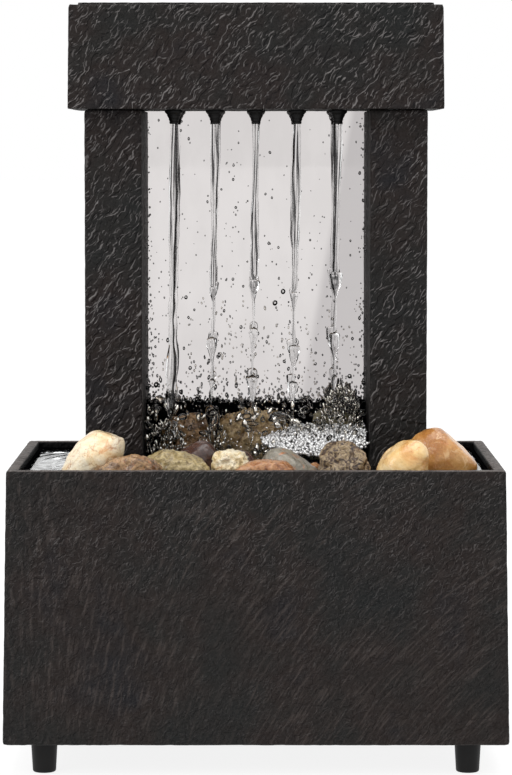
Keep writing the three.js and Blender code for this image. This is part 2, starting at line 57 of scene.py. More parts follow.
def box_mm(node):
    """Lowest and highest corner of a CAD node, in millimetres."""
    lo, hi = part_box(node)
    return np.array(lo) / MM, np.array(hi) / MM


SHELL_LO, SHELL_HI = box_mm("base_shell")
TUB_HI = box_mm("basin_tub")[1]
MIRROR_LO = box_mm("mirror_panel")[0]
LEFT_HI = box_mm("left_column")[1]
RIGHT_LO = box_mm("right_column")[0]
HEADER_LO = box_mm("header_shell")[0]
LEDGE_LO, LEDGE_HI = box_mm("splash_ledge")
RIM = SHELL_HI[2]
WATER_BELOW_RIM = 3.0
WATER = RIM - WATER_BELOW_RIM
NOZZLES = [box_mm(f"nozzle_{i}") for i in range(1, 6)]
PEBBLES = [name for name in frame["nodes"] if name.startswith("pebble_") and name != "pebble_deck"]


# ---- mesh helpers ------------------------------------------------------------------------------

def new_object(name, mesh, material=None, smooth=True):
    if smooth:
        mesh.polygons.foreach_set("use_smooth", [True] * len(mesh.polygons))
    obj = bpy.data.objects.new(name, mesh)
    bpy.context.scene.collection.objects.link(obj)
    if material:
        mesh.materials.clear()
        mesh.materials.append(material)
    return obj


def mesh_from(name, verts, faces):
    mesh = bpy.data.meshes.new(name)
    mesh.from_pydata([tuple(v) for v in verts], [], faces)
    mesh.update()
    return mesh


def points_of(mesh):
    co = np.empty(len(mesh.vertices) * 3, np.float32)
    mesh.vertices.foreach_get("co", co)
    return co.reshape(-1, 3).astype(float)


def normals_of(mesh):
    no = np.empty(len(mesh.vertices) * 3, np.float32)
    mesh.vertices.foreach_get("normal", no)
    return no.reshape(-1, 3).astype(float)


def set_points(mesh, co):
    mesh.vertices.foreach_set("co", co.astype(np.float32).ravel())
    mesh.update()


def applied(obj):
    """The object's mesh with its modifiers applied."""
    deps = bpy.context.evaluated_depsgraph_get()
    mesh = bpy.data.meshes.new_from_object(obj.evaluated_get(deps))
    old = obj.data
    obj.modifiers.clear()
    obj.data = mesh
    bpy.data.meshes.remove(old)
    return obj


# ---- noise in plain numpy ----------------------------------------------------------------------

def _hash(ix, iy, iz, seed):
    h = (ix * 374761393 + iy * 668265263 + iz * 2147483647 + seed * 1274126177) & 0xFFFFFFFF
    h = ((h ^ (h >> 13)) * 1103515245) & 0xFFFFFFFF
    h = ((h ^ (h >> 16)) * 2654435761) & 0xFFFFFFFF
    return ((h ^ (h >> 15)) & 0xFFFFFF) / float(0xFFFFFF) * 2 - 1


def value_noise(p, seed=0):
    """Smooth noise in -1..1 at points p, with a cell size of 1."""
    i = np.floor(p).astype(np.int64)
    f = p - i
    f = f * f * f * (f * (f * 6 - 15) + 10)
    out = 0
    for dx in (0, 1):
        wx = f[:, 0] if dx else 1 - f[:, 0]
        for dy in (0, 1):
            wy = f[:, 1] if dy else 1 - f[:, 1]
            for dz in (0, 1):
                wz = f[:, 2] if dz else 1 - f[:, 2]
                out = out + wx * wy * wz * _hash(i[:, 0] + dx, i[:, 1] + dy, i[:, 2] + dz, seed)
    return out


def fractal(p, octaves, seed=0):
    total, weight, norm = 0, 1.0, 0.0
    for k in range(octaves):
        total = total + weight * value_noise(p * 2.0 ** k + 17.3 * k, seed + k)
        norm += weight
        weight *= 0.5
    return total / norm


# ---- materials ---------------------------------------------------------------------------------

class Shader:
    """A node material under construction."""

    def __init__(self, name):
        self.material = bpy.data.materials.new(name)
        self.material.use_nodes = True
        self.tree = self.material.node_tree
        self.bsdf = self.tree.nodes["Principled BSDF"]
        self.coords = self.tree.nodes.new("ShaderNodeTexCoord").outputs["Object"]

    def node(self, kind, inputs=None, **props):
        n = self.tree.nodes.new(kind)
        for key, value in props.items():
            setattr(n, key, value)
        for key, value in (inputs or {}).items():
            self.put(n.inputs[key], value)
        return n

    def put(self, socket, value):
        if hasattr(value, "is_output"):
            self.tree.links.new(value, socket)
        else:
            socket.default_value = value

    def mapped(self, scale=(1, 1, 1), rotation=(0, 0, 0), vector=None):
        n = self.node("ShaderNodeMapping", {"Vector": vector or self.coords})
        n.inputs["Scale"].default_value = scale
        n.inputs["Rotation"].default_value = rotation
        return n.outputs["Vector"]

    def noise(self, per_metre, detail=3.0, rough=0.5, distortion=0.0, vector=None):
        n = self.node("ShaderNodeTexNoise", {"Vector": vector or self.coords, "Scale": per_metre,
                                             "Detail": detail, "Roughness": rough,
                                             "Distortion": distortion})
        return n.outputs["Fac"]

    def voronoi(self, per_metre, vector=None):
        n = self.node("ShaderNodeTexVoronoi", {"Vector": vector or self.coords, "Scale": per_metre})
        return n.outputs["Distance"]

    def math(self, operation, a, b=0.0):
        return self.node("ShaderNodeMath", {0: a, 1: b}, operation=operation).outputs[0]

    def split(self, vector):
        """The vector's three parts, by the names X, Y and Z."""
        return self.node("ShaderNodeSeparateXYZ", {0: vector}).outputs

    def facing_up(self):
        return self.split(self.node("ShaderNodeTexCoord").outputs["Normal"])["Z"]

    def span(self, value, low, high, to_low=0.0, to_high=1.0):
        n = self.node("ShaderNodeMapRange", {"Value": value, "From Min": low, "From Max": high,
                                             "To Min": to_low, "To Max": to_high},
                      interpolation_type="SMOOTHSTEP")
        return n.outputs["Result"]

    def mix(self, factor, a, b):
        n = self.node("ShaderNodeMix", data_type="RGBA")
        self.put(n.inputs[0], factor)
        self.put(n.inputs[6], a)
        self.put(n.inputs[7], b)
        return n.outputs[2]

    def ramp(self, value, stops):
        n = self.node("ShaderNodeValToRGB", {"Fac": value})
        elements = n.color_ramp.elements
        while len(elements) < len(stops):
            elements.new(0.5)
        for element, (position, color) in zip(elements, stops):
            element.position = position
            element.color = (*color, 1)
        return n.outputs["Color"]

    def bump(self, height, distance, strength=1.0):
        n = self.node("ShaderNodeBump", {"Height": height, "Distance": distance, "Strength": strength})
        return n.outputs["Normal"]

    def finish(self, **inputs):
        for key, value in inputs.items():
            self.put(self.bsdf.inputs[key.replace("_", " ")], value)
        return self.material


def rgb(r, g, b):
    """A linear colour from 0-255 display values."""
    def channel(v):
        v /= 255
        return v / 12.92 if v <= 0.04045 else ((v + 0.055) / 1.055) ** 2.4
    return (channel(r), channel(g), channel(b))


def rgba(r, g, b):
    return (*rgb(r, g, b), 1)


def face_plane(s):
    """Object coordinates laid flat on each face: x runs across it and z up it, so patterns can slant."""
    facing = s.node("ShaderNodeVectorMath", {0: s.node("ShaderNodeTexCoord").outputs["Normal"]},
                    operation="ABSOLUTE").outputs[0]
    facing = s.split(facing)
    side = s.math("GREATER_THAN", facing["X"], 0.7)
    top = s.math("GREATER_THAN", facing["Z"], 0.7)
    place = s.split(s.coords)
    across = s.node("ShaderNodeMix", {0: side, 2: place["X"], 3: place["Y"]}, data_type="FLOAT").outputs[0]
    up = s.node("ShaderNodeMix", {0: top, 2: place["Z"], 3: place["Y"]}, data_type="FLOAT").outputs[0]
    return s.node("ShaderNodeCombineXYZ", {0: across, 1: s.math("ADD", side, top), 2: up}).outputs[0]


def steps(s, place, per_metre, width, shift=0.0003):
    """Low split edges along a noise's contours: how much is lit, how much is in shade, and the height."""
    lower = s.mapped(vector=place)
    lower.node.inputs["Location"].default_value = (0, 0, shift)
    here = s.noise(per_metre, 1.5, 0.5, vector=place)
    there = s.noise(per_metre, 1.5, 0.5, vector=lower)
    line = s.span(s.math("ABSOLUTE", s.math("SUBTRACT", here, 0.5)), width, width * 0.25)
    slope = s.math("SUBTRACT", here, there)
    lit = s.math("MULTIPLY", line, s.span(slope, 0.004, 0.022))
    shade = s.math("MULTIPLY", line, s.span(slope, -0.004, -0.022))
    return lit, shade, s.span(here, 0.5 - width, 0.5 + width)


def slate_material(name, per_metre=290, stretch=2.6, painted_crest_highlight=0.8, streaks=0.0, top_light_strength=0.25, fade_z=None,
                   painted_shade_hollow=None):
    """Cast dark resin with a split-slate look: fine slanting edges with a painted highlight above, painted
    shade below.

    `per_metre` sets how close the edges lie, `painted_crest_highlight` how light the painted highlight is,
    `streaks` how much faint streaks show, and `top_light_strength` how strongly the upward faces are
    painted lighter as painted top light. `fade_z` is the pair of heights in metres between which the edges
    fade out downwards. Within `painted_shade_hollow`, half a width and half a depth in metres, the faces
    are painted black as painted shade.
    """
    s = Shader(name)
    plane = face_plane(s)
    warp = s.node("ShaderNodeTexNoise", {"Vector": plane, "Scale": 140.0, "Detail": 2.0}).outputs["Color"]
    bent = s.node("ShaderNodeVectorMath", {0: warp}, operation="MULTIPLY_ADD")
    bent.inputs[1].default_value = (0.004, 0.0, 0.004)
    s.put(bent.inputs[2], plane)
    turned = s.mapped(rotation=(0, math.radians(52), 0), vector=bent.outputs[0])
    squeezed = s.mapped(scale=(1 / stretch, 1, 1), vector=turned)
    # Each edge's lit and shaded sides, painted into the colour below as highlight and shade.
    lit_1, shade_1, height_1 = steps(s, squeezed, per_metre, 0.034)
    lit_2, shade_2, height_2 = steps(s, squeezed, per_metre * 2.1, 0.07, 0.0002)
    mask_1 = s.span(s.noise(per_metre * 0.45, 3, 0.6, vector=turned), 0.42, 0.54)
    mask_2 = s.span(s.noise(per_metre * 0.8, 2, 0.5, vector=turned), 0.45, 0.55)
    broad = s.span(s.noise(38, 2, 0.5), 0.32, 0.6, 0.45, 1.0)
    lit = s.math("MULTIPLY", s.math("MAXIMUM", s.math("MULTIPLY", lit_1, mask_1),
                                    s.math("MULTIPLY", s.math("MULTIPLY", lit_2, mask_2), 0.6)), broad)
    shade = s.math("MAXIMUM", s.math("MULTIPLY", shade_1, mask_1), s.math("MULTIPLY", shade_2, mask_2))
    if fade_z:
        fade = s.span(s.split(s.coords)["Z"], *fade_z, 0.3, 1.0)
        lit, shade = s.math("MULTIPLY", lit, fade), s.math("MULTIPLY", shade, fade)
    grain = s.noise(1500, 3, 0.65)
    clouds = s.noise(24, 3, 0.6)
    base = s.ramp(clouds, [(0.34, rgb(24, 26, 26)), (0.46, rgb(28, 27, 26)), (0.58, rgb(33, 27, 25)),
                           (0.72, rgb(25, 25, 28))])
    if streaks:
        # They hang straight at the left of a face and slant more and more towards its right.
        at = s.split(plane)
        slant = s.math("MULTIPLY", at["Z"], s.math("ADD", s.math("MULTIPLY", at["X"], 5.0), 0.45))
        fan = s.node("ShaderNodeCombineXYZ", {0: s.math("SUBTRACT", at["X"], slant), 1: at["Y"],
                                              2: s.math("MULTIPLY", at["Z"], 0.14)}).outputs[0]
        down = s.noise(800, 3, 0.6, vector=fan)
        faint = s.math("MULTIPLY", s.span(down, 0.48, 0.7), s.span(s.noise(22, 2), 0.42, 0.6, 0.2, streaks))
        base = s.mix(faint, base, rgba(70, 63, 60))
    base = s.mix(s.span(grain, 0.42, 0.7, 0, 0.4), base, rgba(46, 43, 42))
    base = s.mix(s.span(grain, 0.45, 0.3, 0, 0.5), base, rgba(13, 12, 13))
    # Painted shade on the lower side of each edge, then a painted highlight on its upper side.
    color = s.mix(s.math("MULTIPLY", shade, 0.7), base, rgba(9, 8, 10))
    color = s.mix(s.math("MULTIPLY", lit, 0.9 * painted_crest_highlight), color, rgba(122, 118, 117))
    # The upward faces are painted a lighter warm grey in uneven patches: painted top light.
    painted_top_light = s.math("MULTIPLY", s.span(s.facing_up(), 0.55, 0.95),
                  s.span(s.noise(260, 4, 0.6), 0.3, 0.62, 0.35, 1.0))
    color = s.mix(s.math("MULTIPLY", painted_top_light, top_light_strength), color, rgba(104, 98, 95))
    # Painted shade: the faces inside the basin are painted near black.
    if painted_shade_hollow:
        place = s.split(s.coords)
        within = [s.math("LESS_THAN", s.math("ABSOLUTE", place[i]), painted_shade_hollow[i]) for i in (0, 1)]
        color = s.mix(s.math("MULTIPLY", *within), color, rgba(7, 7, 8))
    height = s.math("ADD", s.math("MULTIPLY", height_1, mask_1), s.math("MULTIPLY", height_2, 0.35))
    height = s.math("ADD", height, s.math("ADD", s.math("MULTIPLY", s.noise(110, 3), 0.7),
                                          s.math("MULTIPLY", grain, 0.25)))
    rough = s.span(s.noise(600, 2), 0.3, 0.7, 0.5, 0.75)
    return s.finish(Base_Color=color, Roughness=rough, Normal=s.bump(height, 0.00038, 1.0),
                    Specular_IOR_Level=0.12)


def moulded_material(name, color, rough=0.4, grain=0.00003, per_metre=1800, spread=0.25, specular=0.5):
    """Moulded plastic or rubber: a fine grain and slightly uneven gloss."""
    s = Shader(name)
    fine = s.noise(per_metre, 3, 0.6)
    broad = s.noise(45, 3)
    dark = tuple(c * (1 - spread) for c in color)
    light = tuple(c * (1 + spread) for c in color)
    base = s.mix(s.span(broad, 0.35, 0.65), (*dark, 1), (*light, 1))
    gloss = s.span(s.math("ADD", s.math("MULTIPLY", broad, 0.6), s.math("MULTIPLY", fine, 0.4)),
                   0.3, 0.7, rough * 0.85, min(1.0, rough * 1.2))
    return s.finish(Base_Color=base, Roughness=gloss, Normal=s.bump(fine, grain, 0.6),
                    Specular_IOR_Level=specular)


def steel_material(name):
    s = Shader(name)
    brushed = s.noise(900, 3, 0.6, vector=s.mapped(scale=(1, 1, 0.08)))
    base = s.mix(s.span(brushed, 0.3, 0.7), rgba(150, 150, 152), rgba(190, 190, 192))
    rough = s.span(brushed, 0.3, 0.7, 0.25, 0.42)
    return s.finish(Base_Color=base, Roughness=rough, Metallic=1.0, Normal=s.bump(brushed, 0.00002, 0.5))


def mirror_material(name):
    """A silvered panel with a thin uneven film of water drying on it, and a painted reflection darkening
    one side.
    """
    s = Shader(name)
    film = s.noise(60, 4, 0.6, vector=s.mapped(scale=(1, 1, 0.4)))
    place = s.split(s.coords)
    base = s.mix(s.span(film, 0.35, 0.7), rgba(213, 209, 208), rgba(219, 215, 214))
    # A painted reflection: one side is painted darker, up to a slanting edge.
    slant = s.math("SUBTRACT", place["X"], s.math("MULTIPLY", s.math("SUBTRACT", place["Z"], 0.253), 0.176))
    base = s.mix(s.span(slant, 0.0365, 0.0405, 0.0, 0.85), base, rgba(187, 183, 183))
    # It is also darker towards its foot.
    base = s.mix(s.span(place["Z"], 0.185, 0.14, 0.0, 0.35), base, rgba(193, 188, 188))
    rough = s.span(film, 0.4, 0.7, 0.012, 0.035)
    return s.finish(Base_Color=base, Metallic=1.0, Roughness=rough, Normal=s.bump(film, 0.00002, 0.25))


def water_material(name, tint=(1, 1, 1), ripple=0.0, painted_dark_band=None, dark=0.12, below=0.0, fade_z=None,
                   clear=1.0):
    """Clear water. A `painted_dark_band` of glancing angles (from, full, full, to) is painted darker, a
    painted shade for water against a bright ground, where it bends the sight line off that ground. `below`
    limits it to undersides, and `fade_z` to heights in metres. Water with air in it is less `clear`."""
    s = Shader(name)
    if ripple:
        waves = s.noise(170, 3, 0.55, 0.3)
        s.put(s.bsdf.inputs["Normal"], s.bump(waves, ripple, 0.6))
    shade = s.noise(90, 2)
    base = s.mix(shade, (*tint, 1), (tint[0] * 0.985, tint[1] * 0.992, tint[2] * 0.99, 1))
    if painted_dark_band:
        facing = s.node("ShaderNodeLayerWeight", {"Blend": 0.5}).outputs["Facing"]
        ring = s.math("MULTIPLY", s.span(facing, painted_dark_band[0], painted_dark_band[1]), s.span(facing, painted_dark_band[3], painted_dark_band[2]))
        if fade_z:
            z = s.split(s.coords)["Z"]
            patches = s.noise(200, 1, 0.5, vector=s.mapped(scale=(1, 1, 0.15)))
            ring = s.math("MULTIPLY", ring, s.span(patches, 0.36, 0.5, 0.5, 1.0))
            ring = s.math("MULTIPLY", ring, s.span(z, *fade_z, 0.5, 1.0))
            # Only where the sight line goes in, so that the bands stay sharp.
            inner = s.node("ShaderNodeNewGeometry").outputs["Backfacing"]
            ring = s.math("MULTIPLY", ring, s.math("SUBTRACT", 1.0, inner))
        if below:
            ring = s.math("MULTIPLY", ring, s.span(s.facing_up(), below, below - 0.5, 0.1, 1.0))
        # Painted shade: the band is painted dark into the water's colour.
        base = s.mix(ring, base, (dark, dark, dark * 1.04, 1))
    return s.finish(Base_Color=base, Roughness=0.0, Transmission_Weight=1.0, IOR=1.333,
                    Metallic=1.0 - clear)


def stone_material(name, stops, per_metre=60, stretch=(1, 1, 1), rough=0.32, bump=0.0006, veins=None,
                   pits=0.4, speckle=0.3, seed=0.0, stain=None, swirl=0.8):
    """A river pebble: clouded colour, stains, cracks, fine speckle, pits, and a damp sheen."""
    s = Shader(name)
    n = s.node("ShaderNodeMapping", {"Vector": s.coords})
    n.inputs["Scale"].default_value = stretch
    n.inputs["Location"].default_value = (seed * 0.37, seed * 0.21, seed * 0.13)
    n.inputs["Rotation"].default_value = (0.3 * seed, 0.5 + 0.2 * seed, 0.4)
    place = n.outputs["Vector"]
    clouds = s.noise(per_metre, 6, 0.66, swirl, vector=place)
    color = s.ramp(clouds, stops)
    dark, light = stops[0][1], stops[-1][1]
    fine = s.noise(1100, 3, 0.7, vector=place)
    color = s.mix(s.span(fine, 0.48, 0.68, 0, speckle), color, (*[c * 0.3 for c in dark], 1))
    color = s.mix(s.span(fine, 0.48, 0.3, 0, speckle), color, (*[min(1, c * 1.5 + 0.04) for c in light], 1))
    if stain:
        patch = s.noise(per_metre * 2.1, 4, 0.7, 1.2, vector=place)
        color = s.mix(s.span(patch, 0.54, 0.68, 0, 0.75), color, (*stain, 1))
    if veins:
        wave = s.noise(per_metre * 1.3, 3, 0.6, 1.6, vector=place)
        away = s.math("ABSOLUTE", s.math("SUBTRACT", wave, 0.5))
        broken = s.span(s.noise(160, 2, vector=place), 0.46, 0.62)
        line = s.math("MULTIPLY", s.span(away, 0.022, 0.002), broken)
        color = s.mix(s.math("MULTIPLY", line, 0.5), color, (*veins, 1))
    pit = s.span(s.voronoi(620, vector=place), 0.0, 0.4)
    small = s.math("ADD", s.math("MULTIPLY", pit, pits * 0.3), s.math("MULTIPLY", fine, 0.2 + 0.3 * pits))
    height = s.math("ADD", clouds, small)
    gloss = s.span(clouds, 0.35, 0.65, rough * 0.7, rough * 1.3)
    return s.finish(Base_Color=color, Roughness=gloss, Normal=s.bump(height, bump, 0.9), Coat_Weight=0.4,
                    Coat_Roughness=0.08)


def foam_material(name):
    """Froth: small bubbles with bright middles and painted dark outlines, as silvery as air under water."""
    s = Shader(name)
    facing = s.node("ShaderNodeLayerWeight", {"Blend": 0.5}).outputs["Facing"]
    cells = s.noise(900, 2)
    base = s.mix(s.span(cells, 0.4, 0.6), rgba(255, 255, 255), rgba(232, 231, 230))
    # Painted shade: the outlines are painted dark where the bubbles are seen edge-on.
    base = s.mix(s.span(facing, 0.35, 0.7, 0, 0.9), base, rgba(40, 40, 42))
    return s.finish(Base_Color=base, Roughness=0.12, Metallic=0.7, IOR=1.333)


SLATE_TOWER = slate_material("slate_tower")
SLATE_BASIN = slate_material("slate_basin", per_metre=420, stretch=1.7, painted_crest_highlight=0.4, streaks=0.6, top_light_strength=0.9,
                             fade_z=(RIM * MM - 0.075, RIM * MM),
                             painted_shade_hollow=((TUB_HI[0] + 0.5) * MM, (TUB_HI[1] + 0.5) * MM))
TUB = moulded_material("tub_black", rgb(5, 5, 6), rough=0.7, grain=0.00001, specular=0.0)
BLACK = moulded_material("satin_black_plastic", rgb(24, 24, 25), rough=0.42)
RUBBER = moulded_material("black_rubber", rgb(14, 13, 13), rough=0.5, grain=0.00002, specular=0.2)
HOSE = moulded_material("hose_vinyl", rgb(176, 186, 186), rough=0.25, grain=0.00001, spread=0.06)
MAGNET = moulded_material("bonded_magnet", rgb(58, 57, 60), rough=0.55, per_metre=2400)
CERAMIC = moulded_material("white_ceramic", rgb(228, 226, 218), rough=0.2, grain=0.00001, spread=0.04)
STEEL = steel_material("stainless_steel")
MIRROR = mirror_material("silvered_panel")
# Painted dark bands on the streams, painted dark rims on the drops' undersides.
WATER_STREAM = water_material("falling_water", painted_dark_band=(0.01, 0.028, 0.17, 0.27), dark=0.008,
                              fade_z=(0.168, 0.192))
WATER_DROP = water_material("water_drops", painted_dark_band=(0.01, 0.06, 0.9, 1.1), dark=0.0, below=0.45)
WATER_SPLASH = water_material("splashing_water", tint=(1.0, 0.96, 0.89), painted_dark_band=(0.1, 0.2, 0.4, 0.55),
                              dark=0.02)
WATER_SPRAY = water_material("aerated_water", tint=(0.86, 0.82, 0.76), painted_dark_band=(0.4, 0.7, 1.0, 1.2), dark=0.1,
                             clear=0.2)
WATER_POOL = water_material("pool_water", tint=(0.97, 0.985, 0.985), ripple=0.0001)
FOAM = foam_material("froth")

NODE_MATERIALS = {
    "basin_tub": TUB,
    "splash_ledge": TUB,
    "base_plate": BLACK,
    "cable_grommet": RUBBER,
    "pebble_deck": BLACK,
    "water_trough": BLACK,
    "pump_body": BLACK,
    "volute_cover": BLACK,
    "intake_cover": BLACK,
    "flow_dial": BLACK,
    "riser_hose": HOSE,
    "impeller": MAGNET,
    "impeller_shaft": CERAMIC,
    "mirror_panel": MIRROR,
}
for node_name, obj in frame["nodes"].items():
    material = NODE_MATERIALS.get(node_name)
    if "screw" in node_name:
        material = STEEL
    elif node_name.startswith("suction_cup"):
        material = RUBBER
    if material:
        obj.data.materials.clear()
        obj.data.materials.append(material)


# ---- slate pieces ------------------------------------------------------------------------------

def rough_slate(node, name, voxel, material, relief, swell, edge_wear, seed):
    """A rough-faced copy of a CAD slate piece: its outward faces are worn inwards by up to `relief` mm."""
    obj = new_object(name, frame["nodes"][node].data.copy())
    remesh = obj.modifiers.new("remesh", "REMESH")
    remesh.mode = "VOXEL"
    remesh.voxel_size = voxel * MM
    applied(obj)
    mesh = obj.data
    co, no = points_of(mesh) / MM, normals_of(mesh)
    lo, hi = co.min(0), co.max(0)
    centre = (lo + hi) / 2
    outward = np.clip(((co - centre) * no).sum(1) * 2, 0, 1)
    # Wrinkles run along a diagonal of every face.
    along = np.array([0.55, 0.55, 0.63])
    across = co - np.outer(co @ along, along) * 0.62
    wrinkles = 1 - np.abs(fractal(across / 3.4, 3, seed))  # sharp crests
    waves = fractal(co / swell, 3, seed + 9)
    depth = relief * (0.55 * (1 - wrinkles) * 1.6 + 0.45 * (0.5 - 0.5 * waves))
    # The corners are knocked back a little and unevenly.
    near = np.sort(np.minimum(co - lo, hi - co), axis=1)
    edge = np.clip(1 - near[:, 1] / 2.4, 0, 1) ** 2
    chips = np.clip(fractal(co / 4.5, 3, seed + 21) + 0.25, 0, 1)
    depth = depth + edge_wear * edge * (0.25 + chips)
    depth = depth - 0.55 * relief
    set_points(mesh, (co - no * (depth * outward)[:, None]) * MM)
    obj.data.materials.clear()
    obj.data.materials.append(material)
    mesh.polygons.foreach_set("use_smooth", [True] * len(mesh.polygons))
    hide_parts(node)
    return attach(obj, BODY_OF[node])


BODY_OF = {n: body for body, members in frame["record"]["behaviour"]["bodies"].items() for n in members}

rough_slate("base_shell", "basin_slate", 0.95, SLATE_BASIN, 0.26, 26, 0.55, 3)
rough_slate("header_shell", "header_slate", 0.8, SLATE_TOWER, 0.24, 20, 0.12, 31)
rough_slate("header_lid", "lid_slate", 0.8, SLATE_TOWER, 0.24, 20, 0.12, 47)
rough_slate("left_column", "left_column_slate", 0.8, SLATE_TOWER, 0.24, 18, 0.12, 61)
rough_slate("right_column", "right_column_slate", 0.8, SLATE_TOWER, 0.24, 18, 0.12, 83)
rough_slate("back_panel", "back_panel_slate", 0.9, SLATE_TOWER, 0.24, 18, 0.1, 97)


# ---- turned pieces -----------------------------------------------------------------------------

def lathe(name, profile, centre, sides, material):
    """A turned closed piece. The profile is (radius, z) in mm: from the axis back to it, or a loop."""
    closed = profile[0] == profile[-1]
    rings = profile[:-1] if closed else profile
    verts, index, faces = [], [], []
    for r, z in rings:
        if r == 0:
            index.append([len(verts)] * sides)
            verts.append((centre[0], centre[1], z))
            continue
        index.append(list(range(len(verts), len(verts) + sides)))
        verts += [(centre[0] + r * math.cos(2 * math.pi * i / sides),
                   centre[1] + r * math.sin(2 * math.pi * i / sides), z) for i in range(sides)]
    pairs = list(zip(index, index[1:])) + ([(index[-1], index[0])] if closed else [])
    for a, b in pairs:
        for i in range(sides):
            j = (i + 1) % sides
            corners = [a[i], a[j], b[j], b[i]]
            face = [v for k, v in enumerate(corners) if v not in corners[:k]]
            if len(face) > 2:
                faces.append(face)
    mesh = mesh_from(name, np.array(verts) * MM, faces)
    bm = bmesh.new()
    bm.from_mesh(mesh)
    bmesh.ops.recalc_face_normals(bm, faces=bm.faces)
    bm.to_mesh(mesh)
    bm.free()
    return new_object(name, mesh, material)


def rounded(profile, radius):
    """The profile with each corner that is not on the axis rounded by up to `radius`."""
    corner_steps = 4
    out = [profile[0]]
    for before, here, after in zip(profile, profile[1:], profile[2:]):
        a, b, c = Vector(before), Vector(here), Vector(after)
        r = min(radius, (a - b).length * 0.45, (c - b).length * 0.45)
        start, end = b + (a - b).normalized() * r, b + (c - b).normalized() * r
        for k in range(corner_steps + 1):
            t = k / corner_steps
            p = start * (1 - t) ** 2 + b * 2 * t * (1 - t) + end * t * t
            out.append((p.x, p.y))
    out.append(profile[-1])
    return out


for foot in [n for n in frame["nodes"] if n.startswith("foot_")]:
    lo, hi = box_mm(foot)
    centre = (lo + hi) / 2
    r = (hi[0] - lo[0]) / 2
    bottom = SHELL_LO[2]
    profile = rounded([(0, 0.35), (r - 2.6, 0.0), (r - 0.75, 0.0), (r - 0.1, bottom - 1.0),
                       (r, bottom + 0.2), (2.2, bottom + 0.3), (2.2, hi[2] - 2.6), (3.0, hi[2] - 2.6),
                       (1.6, hi[2]), (0, hi[2])], 1.5)
    piece = lathe(foot + "_rubber", profile, centre, 48, RUBBER)
    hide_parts(foot)
    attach(piece, ROOT)

for i, (lo, hi) in enumerate(NOZZLES, 1):
    centre = (lo + hi) / 2
    tip, under = lo[2], HEADER_LO[2]
    profile = [(1.3, tip), (1.7, tip), (1.85, tip + 0.9), (1.7, tip + 1.0), (2.15, tip + 1.9),
               (2.0, tip + 2.1), (2.75, tip + 3.3), (2.7, tip + 3.6), (3.4, tip + 4.4), (3.65, tip + 4.6),
               (3.65, under - 0.25), (2.7, under - 0.25), (2.7, hi[2] - 1.4), (4.2, hi[2] - 1.4),
               (4.2, hi[2]), (1.3, hi[2]), (1.3, tip)]
    piece = lathe(f"nozzle_{i}_rubber", profile, centre, 36, RUBBER)
    bevel = piece.modifiers.new("bevel", "BEVEL")
    bevel.width = 0.15 * MM
    bevel.segments = 2
    bevel.limit_method = "ANGLE"
    applied(piece)
    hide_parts(f"nozzle_{i}")
    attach(piece, ROOT)


# ---- pebbles -----------------------------------------------------------------------------------

def stops(*colors):
    return list(zip((0.32, 0.45, 0.57, 0.7), (rgb(*c) for c in colors)))


CREAM = stops((214, 170, 118), (236, 212, 170), (246, 234, 208), (230, 198, 148))
HONEY = stops((204, 146, 82), (226, 186, 122), (238, 210, 158), (216, 166, 98))
AMBER = stops((166, 108, 52), (190, 134, 72), (206, 156, 94), (220, 180, 124))
SHELL = stops((196, 166, 112), (234, 214, 170), (250, 240, 214), (212, 180, 124))
RUSSET = stops((118, 72, 42), (164, 110, 68), (190, 140, 94), (142, 92, 54))
GREY = stops((104, 98, 86), (134, 128, 114), (158, 150, 134), (122, 110, 94))
PLUM = stops((38, 27, 24), (66, 44, 38), (94, 64, 52), (54, 38, 33))
OLIVE = stops((98, 82, 50), (156, 136, 90), (196, 176, 128), (122, 102, 64))
BROWN = stops((72, 50, 32), (120, 88, 56), (178, 140, 96), (96, 68, 42))
MOTTLE = stops((24, 18, 14), (84, 60, 42), (190, 166, 130), (46, 33, 24))
TAN = stops((92, 68, 42), (150, 122, 80), (196, 170, 124), (124, 94, 58))
MOSS = stops((46, 42, 30), (92, 84, 58), (136, 124, 90), (66, 60, 42))

